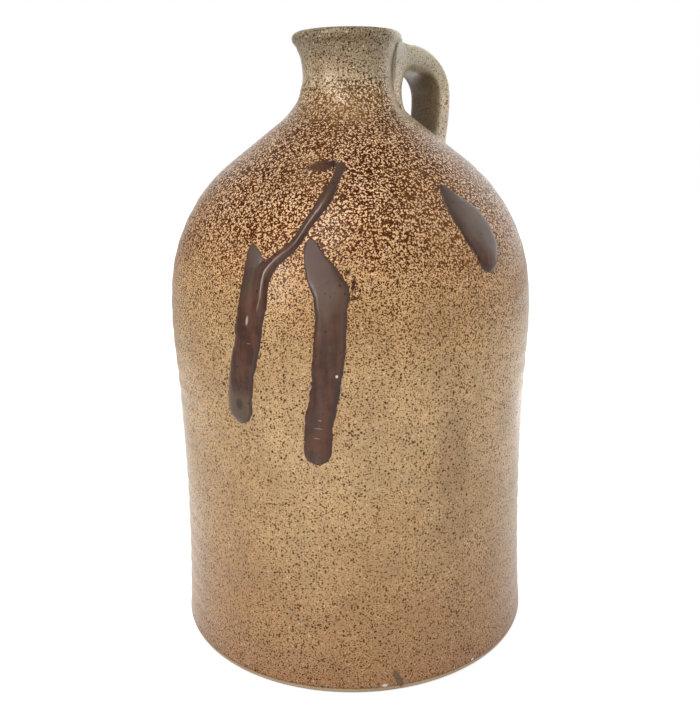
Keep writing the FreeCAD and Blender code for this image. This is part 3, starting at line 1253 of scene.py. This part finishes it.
        # painted shade: the face towards the neck, between the strap's edges, which the neck
        # shades; its colour is darkened there
        flat = net * np.array([1.0, 1.0, 0.0])
        radius = np.linalg.norm(flat, axis=2)
        aside = radius * np.sin(np.arctan2(net[..., 1], net[..., 0]) - self.azimuth)
        facing = np.einsum("ijk,ijk->ij", normals, flat) / np.maximum(radius, 1e-9)
        shade = smooth_step(-0.2, -0.6, facing) * smooth_step(*self.shade_edges, np.abs(aside))
        store(handle, "inner", np.append(shade.reshape(-1), [0.0, 0.0]))
        return handle


@dataclass(frozen=True)
class Strand:
    """One strand of a glaze run: azimuth in degrees, depth below the rim and half width in mm."""

    stations: tuple[Triple, ...]
    relief: float = 1.15
    bulb: float = 0.30
    thin: float = 0.45
    gather: float = 34.0
    flow: Pair = (0.0, 1.0)


@dataclass
class GlazeRun:
    """A run of thick glaze on the wall: a bead swept down its strands, swollen at its foot."""

    name: str
    strands: tuple[Strand, ...]
    wall: Wall
    height: float
    seed: int
    grid: float = 0.00035
    shoulder: float = 4.4
    sunk: float = 0.0009
    blend: float = 1.5
    edge: float = -0.45
    mean_radius: float = 80.0
    margin: float = 1.5
    line_step: float = 0.3
    waver: float = 0.045
    fray: float = 0.16
    swell: float = 0.10
    thickness_rounds: int = 10
    flow_rounds: int = 60

    def centre_line(self, strand: Strand) -> Array:
        """Follow a strand finely.

        Args:
            strand: The strand.

        Returns:
            Rows of azimuth in radians, run along the wall in mm, half width in mm.
        """
        given = np.array(strand.stations)
        level = self.height - given[:, 1] * MM
        run = np.interp(level, self.wall.levels, self.wall.run) / MM
        rows = np.stack([np.radians(given[:, 0]), run, given[:, 2]], axis=1)
        travel = np.concatenate([[0.0], np.cumsum(np.hypot(
            np.diff(rows[:, 0]) * self.mean_radius, np.diff(rows[:, 1])))])
        slopes = np.gradient(rows, travel, axis=0)
        fine = np.arange(0.0, travel[-1], self.line_step)
        index = np.clip(np.searchsorted(travel, fine, side="right") - 1, 0, len(travel) - 2)
        step = (travel[index + 1] - travel[index])[:, None]
        share = ((fine - travel[index])[:, None]) / step
        a = 2 * share ** 3 - 3 * share ** 2 + 1
        b = share ** 3 - 2 * share ** 2 + share
        c = -2 * share ** 3 + 3 * share ** 2
        d = share ** 3 - share ** 2
        return (a * rows[index] + b * step * slopes[index] + c * rows[index + 1]
                + d * step * slopes[index + 1])

    def bead(self, strand: Strand, line: Array, place: tuple[Array, ...],
             uneven: tuple[Array, ...]) -> tuple[Array, Array]:
        """Thickness of one strand and how far down it each point lies.

        Args:
            strand: The strand.
            line: Its centre line.
            place: Azimuth, run along the wall and radius, in mm, of each point of the net.
            uneven: Coarse and fine unevenness of the bead's edge.

        Returns:
            Thickness in mm, negative outside the bead, and the flow.
        """
        turn, run, radius = place
        ragged, frayed = uneven
        found = np.full(turn.shape, -9.0)
        passed = np.zeros(turn.shape)
        start, foot = line[0], line[-1]
        for way, (azimuth, along, half) in zip(np.linspace(*strand.flow, len(line)), line):
            near = np.abs(run - along) < half + 1.6
            apart = np.hypot((turn[near] - azimuth) * radius[near], run[near] - along)
            inward = half * (1.0 + self.waver * ragged[near]) + self.fray * frayed[near] - apart
            passed[near] = np.where(inward > found[near], way, passed[near])
            found[near] = np.maximum(found[near], inward)
        # the bead rises steeply from its rim to a nearly flat back
        rim = 1.0 - np.clip(found / self.shoulder, 0.0, 1.0)
        # the glaze is a thin skin where it starts, and gathers on its way down
        gone = np.hypot((turn - start[0]) * radius, run - start[1])
        relief = strand.relief * (strand.thin + (1.0 - strand.thin)
                                  * smooth_step(0.0, strand.gather, gone))
        found = np.where(found < 0, 1.6 * found, relief * np.sqrt(1.0 - rim ** 2))
        below = np.hypot((turn - foot[0]) * radius, run - foot[1] - 1.0)
        found += np.where(found > 0, strand.bulb * np.exp(-(below / foot[2]) ** 2)
                          * np.clip(found, 0, 1), 0.0)
        return found, passed

    def build(self, glaze: Material) -> Piece:
        """Make the run as a closed shell that is sunk a little into the clay.

        Args:
            glaze: The run's finish.

        Returns:
            The run.
        """
        lines = [self.centre_line(strand) for strand in self.strands]
        joined = np.vstack(lines)
        margin = joined[:, 2].max() + self.margin
        low, high = joined[:, 1].min() - margin, joined[:, 1].max() + margin
        runs = np.arange(low, high, self.grid / MM)
        levels = np.interp(runs * MM, self.wall.run, self.wall.levels)
        girth = float(self.wall.radius(levels).max())
        edge = margin * MM / girth * 1.3
        turns = np.arange(joined[:, 0].min() - edge, joined[:, 0].max() + edge,
                          self.grid / girth)
        turn, run = np.meshgrid(turns, runs)
        level = np.repeat(levels[:, None], len(turns), axis=1)
        base, normals = self.wall.place(turn, level)
        uneven = (Wander(0.007, self.seed).at(base), Wander(0.0022, self.seed + 7).at(base))
        total = np.full(turn.shape, -9.0)
        flow = np.zeros(turn.shape)
        for strand, line in zip(self.strands, lines):
            found, passed = self.bead(strand, line, (turn, run, self.wall.radius(level) / MM),
                                      uneven)
            flow = np.where(found > total, passed, flow)
            blend = np.maximum(self.blend - np.abs(total - found), 0.0) / self.blend
            total = np.maximum(total, found) + blend ** 2 * self.blend * 0.25
        total *= 1.0 + self.swell * Wander(0.011, self.seed + 1).at(base) * (total > 0)
        total = self.spread(total, smooth_step(0.1, 0.5, total), self.thickness_rounds)
        covered = (total > self.edge).astype(float)
        flow = (self.spread(flow * covered, covered, self.flow_rounds)
                / np.maximum(self.spread(covered, covered, self.flow_rounds), 0.05))
        total = np.maximum(total, -self.sunk / MM + 0.25)
        return self.shell(base, normals, {"thickness": total, "flow": flow}, glaze)

    def spread(self, values: Array, hold: Array, rounds: int) -> Array:
        """Let values on the run's net even out, so that no crease or step is left.

        Args:
            values: One value for each point of the net.
            hold: How freely each point moves, from 0 to 1.
            rounds: How often each point is drawn to its neighbours.

        Returns:
            The evened values.
        """
        evened = values.copy()
        for _ in range(rounds):
            padded = np.pad(evened, 1, mode="edge")
            mean = (padded[:-2, 1:-1] + padded[2:, 1:-1] + padded[1:-1, :-2]
                    + padded[1:-1, 2:]) / 4.0
            evened += (mean - evened) * 0.8 * hold
        return evened

    def shell(self, base: Array, normals: Array, layers: dict[str, Array],
              glaze: Material) -> Piece:
        """Close the bead's top with an underside below the clay's surface.

        Args:
            base: Net of points on the wall.
            normals: The wall's normals there.
            layers: Thickness of the glaze there, in mm, and how far it has flowed.
            glaze: The run's finish.

        Returns:
            The closed shell.
        """
        shown = layers["thickness"] > self.edge
        cell = shown[:-1, :-1] | shown[1:, :-1] | shown[:-1, 1:] | shown[1:, 1:]
        rows, columns = np.nonzero(cell)
        width = base.shape[1]
        first = rows * width + columns
        corners = np.stack([first, first + 1, first + width + 1, first + width], axis=1)
        used, corners = np.unique(corners, return_inverse=True)
        corners = corners.reshape(-1, 4)
        count = len(used)
        flat = base.reshape(-1, 3)[used]
        lean = normals.reshape(-1, 3)[used]
        top = flat + lean * (layers["thickness"].reshape(-1)[used] * MM)[:, None]
        faces = corners.tolist()
        edges = {(quad[k], quad[(k + 1) % 4]) for quad in faces for k in range(4)}
        faces += (corners[:, ::-1] + count).tolist()
        faces += [(b, a, a + count, b + count) for a, b in sorted(edges) if (b, a) not in edges]
        run = mesh_piece(self.name, np.vstack([top, flat - lean * self.sunk]), faces, glaze)
        face_outwards(run.data)
        for name, values in layers.items():
            store(run, name, np.tile(values.reshape(-1)[used], 2))
        return run


FORK = (
    Strand(((-29.2, 87.0, 1.7), (-27.9, 92.5, 4.2), (-27.0, 100.0, 5.8), (-28.0, 113.0, 6.5),
            (-29.5, 126.0, 6.2), (-31.7, 138.0, 5.9), (-33.0, 149.0, 6.1),
            (-33.2, 153.5, 5.9)), thin=0.22, flow=(0.06, 1.0)),
    Strand(((-2.9, 56.0, 1.7), (-4.9, 61.5, 1.8), (-8.8, 70.5, 2.6), (-11.2, 75.0, 2.1),
            (-17.3, 87.0, 2.2), (-20.9, 91.0, 2.5), (-23.3, 95.0, 2.7), (-24.4, 101.0, 2.6),
            (-24.9, 107.0, 2.2), (-25.5, 112.0, 1.6)),
           relief=1.45, bulb=0.0, thin=0.28, gather=46.0, flow=(0.12, 0.50)))
LONG = (
    Strand(((-11.2, 84.5, 1.7), (-10.3, 88.6, 3.6), (-9.3, 92.4, 4.6), (-7.3, 97.0, 6.1),
            (-5.3, 102.5, 7.0), (-5.2, 110.0, 6.2), (-5.9, 128.0, 6.2), (-7.2, 142.5, 5.7),
            (-8.8, 154.0, 5.6), (-9.7, 168.0, 5.8)), thin=0.22, flow=(0.0, 0.85)),)
SIDE = (
    Strand(((36.2, 66.0, 1.9), (37.0, 69.0, 3.9), (38.4, 73.5, 6.2), (41.6, 79.0, 8.6),
            (44.0, 85.5, 9.2), (44.5, 90.5, 7.4), (44.3, 93.5, 6.2)), flow=(0.05, 0.42)),)


# ---- the room ----


@dataclass(frozen=True)
class Viewpoint:
    """The camera: where it stands and how it is held."""

    place: Triple = (0.0, -0.390, 0.2335)
    pitch: float = math.radians(15.0)
    pan: float = math.radians(-0.09)
    roll: float = math.radians(-0.87)
    lens: float = 40.88

    def build(self) -> Piece:
        """Set up the camera.

        Returns:
            The camera, made the scene's own.
        """
        level = Vector((math.cos(self.pan), -math.sin(self.pan), 0.0))
        ahead = Vector((math.sin(self.pan), math.cos(self.pan), 0.0))
        above = Vector((0.0, 0.0, 1.0))
        view = ahead * math.cos(self.pitch) - above * math.sin(self.pitch)
        up = ahead * math.sin(self.pitch) + above * math.cos(self.pitch)
        right = level * math.cos(self.roll) + up * math.sin(self.roll)
        up = up * math.cos(self.roll) - level * math.sin(self.roll)
        data = bpy.data.cameras.new("viewpoint")
        data.lens = self.lens
        data.sensor_width = 36.0
        data.clip_start = 0.01
        camera = linked("viewpoint", data)
        turn = Matrix((right, up, -view)).transposed().to_4x4()
        camera.matrix_world = Matrix.Translation(self.place) @ turn
        bpy.context.scene.camera = camera
        return camera


@dataclass
class Studio:
    """A white room with soft light: floor, surrounding white and two broad lamps."""

    floor_size: float = 6.0
    floor_white: float = 0.80
    floor_glow: float = 0.72
    ambient: float = 0.57
    window_edges: Pair = (-0.62, -0.20)
    window_soft: float = 0.10
    window_light: float = 9.0
    low_window_edges: Pair = (-1.5, -0.8)
    low_window_soft: float = 0.20

    def table(self, bench: Bench) -> Wire:
        """How brightly the table shows in reflections: it ends a little way from the jug.

        Args:
            bench: The floor's bench.

        Returns:
            The brightness, above 1 where the table is lit the most, far behind the jug.
        """
        spot = bench.wire("ShaderNodeTexCoord", output="Object")
        away = bench.wire("ShaderNodeVectorMath", {0: spot}, "Value", operation="LENGTH")
        x, y, _ = bench.axes(spot)
        near = ((away - x.rise(0.05, 0.50, 0.0, 0.9)).rise(0.42, 0.58, 1.0, 0.1)
                * x.rise(-0.32, -0.12, 0.38, 1.0))
        behind = y.rise(0.12, 0.32) * away.rise(0.36, 0.52, 1.0, 0.0)
        lit = y.rise(-0.15, 0.05, 0.30, 1.0) * (behind + 1.0)
        ahead = self.strip(x, y, self.window_edges, self.window_soft) * 0.8
        return near * lit.or_more(ahead)

    def floor(self) -> None:
        """Lay a pale floor that shows a faint shadow."""
        material, bench, shader = surface("floor_white")
        shader.inputs["Base Color"].default_value = (*(self.floor_white,) * 3, 1.0)
        shader.inputs["Roughness"].default_value = 0.9
        shader.inputs["Specular IOR Level"].default_value = 0.0
        table = self.table(bench)
        bounced = bench.bounced()
        camera = bench.wire("ShaderNodeLightPath", output="Is Camera Ray")
        extra = (table - 1.0).or_more(0.0) * bounced * 1.2 + self.floor_glow
        glow = bench.wire("ShaderNodeEmission", {"Strength": extra})
        both = bench.wire("ShaderNodeAddShader", {0: glow, 1: shader.outputs[0]})
        seen = bench.math(Step.MAXIMUM, camera, bounced * table, clamp=True)
        mixed = bench.wire("ShaderNodeMixShader", {0: seen, 1: shader.outputs[0], 2: both})
        bench.feed(material.node_tree.nodes["Material Output"].inputs["Surface"], mixed)
        half = self.floor_size / 2
        corners = [(-half, -half, 0.0), (half, -half, 0.0), (half, half, 0.0), (-half, half, 0.0)]
        floor = mesh_piece("floor", np.array(corners), [(0, 1, 2, 3)], material)

    def strip(self, aside: Wire, ahead: Wire, edges: Pair, soft: float) -> Wire:
        """An upright strip of directions ahead of the jug, where a window stands.

        Args:
            aside: How far to the right.
            ahead: How far behind the jug.
            edges: Tangents of the strip's left and right edge.
            soft: Softness of its edges.

        Returns:
            Wire that is 1 in the strip.
        """
        front = (ahead * -1.0).or_more(0.02)
        return (aside / front).band(*edges, soft) * ahead.rise(-0.12, -0.04, 1.0, 0.0)

    def surround(self) -> None:
        """White all round: full strength where it is seen, a plain room in reflections."""
        world = bpy.data.worlds.new("studio_white")
        bpy.context.scene.world = world
        world.use_nodes = True
        bench = Bench(world.node_tree)
        aside, ahead, above = bench.axes(bench.wire("ShaderNodeTexCoord", output="Generated"))
        # the white backdrop stands behind the jug; the room in front is dimmer
        dim_corner = aside.rise(-0.80, -0.50, 0.75, 0.0) * above.band(-0.20, 0.36, 0.10)
        room = (ahead.rise(-0.45, 0.40, 0.0, 1.4)
                * (aside.rise(-0.75, -0.05, 0.20, 1.0) - dim_corner))
        room = room.or_more(aside.rise(-0.2, -0.9, 0.06, 0.25))
        room = room.or_more(aside.rise(0.2, 0.9, 0.06, 0.5))
        # the ceiling is dark
        room = room * above.rise(0.50, 0.80, 1.0, 0.08)
        # a tall window ahead on the left, and a low one further left
        tall = (self.strip(aside, ahead, self.window_edges, self.window_soft)
                * above.rise(0.45, 0.78, 1.2, self.window_light)
                * above.rise(0.90, 0.97, 1.0, 0.0))
        low = (self.strip(aside, ahead, self.low_window_edges, self.low_window_soft)
               * above.band(0.05, 0.55, 0.10) * self.window_light)
        room = room.or_more(tall.or_more(low))
        strength = bench.wire("ShaderNodeMix", {0: bench.bounced(), 2: self.ambient, 3: room})
        camera = bench.wire("ShaderNodeLightPath", output="Is Camera Ray")
        glow = world.node_tree.nodes["Background"]
        glow.inputs["Color"].default_value = (1.0, 1.0, 1.0, 1.0)
        bench.feed(glow.inputs["Strength"], camera.or_more(strength))

    def lamp(self, name: str, place: Triple, aim: Triple, size: float, power: float) -> None:
        """Hang a broad square lamp.

        Args:
            name: Name of the lamp.
            place: Where it hangs.
            aim: What it points at.
            size: Its width and height.
            power: Its power in watts.
        """
        data = bpy.data.lights.new(name, "AREA")
        data.shape = "RECTANGLE"
        data.size = data.size_y = size
        data.energy = power
        lamp = linked(name, data)
        lamp.location = place
        lamp.visible_glossy = False
        lamp.rotation_euler = (Vector(aim) - Vector(place)).to_track_quat("-Z", "Y").to_euler()

    def build(self) -> None:
        """Set up the room."""
        self.floor()
        self.surround()
        self.lamp("window_left", (-0.50, -0.55, 0.97), (0.0, 0.0, 0.18), 0.40, 4.0)
        self.lamp("room_front", (0.25, -0.75, 0.75), (0.0, 0.0, 0.10), 0.60, 0.95)


def main() -> None:
    logging.basicConfig(level=logging.INFO, format="%(name)s: %(message)s")
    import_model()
    bpy.context.scene.view_settings.view_transform = "Standard"

    outline = TurnedOutline()
    wall = Wall(outline)
    girth = outline.belly_radius
    clay = SaltGlaze(outline.height, girth, marks=MARKS_AND_GLINTS).make()
    strap_clay = SaltGlaze(outline.height, girth, handle=True).make()
    dark = DarkGlaze(girth, marks=RUN_MARKS_AND_GLINTS).make()
    ashen = DarkGlaze(girth, "ashen_run_glaze", thin=srgb(114, 99, 88)).make()
    made = [(TurnedBody(outline).build(clay), "jug", "stoneware"),
            (StrapHandle(outline, wall).build(strap_clay), "jug", "stoneware")]
    for name, strands, seed, glaze in (("glaze_fork", FORK, 21, dark),
                                       ("glaze_long", LONG, 33, dark),
                                       ("glaze_side", SIDE, 47, ashen)):
        run = GlazeRun(name + "_bead", strands, wall, outline.height, seed).build(glaze)
        made.append((run, name, "dark_glaze"))
    for piece, node, slot in made:
        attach(piece, "root")
        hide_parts(node)
        piece.data.calc_loop_triangles()
        LOG.info("%s: %d triangles", piece.name, len(piece.data.loop_triangles))

    Studio().build()
    Viewpoint().build()


if __name__ == "__main__":
    main()
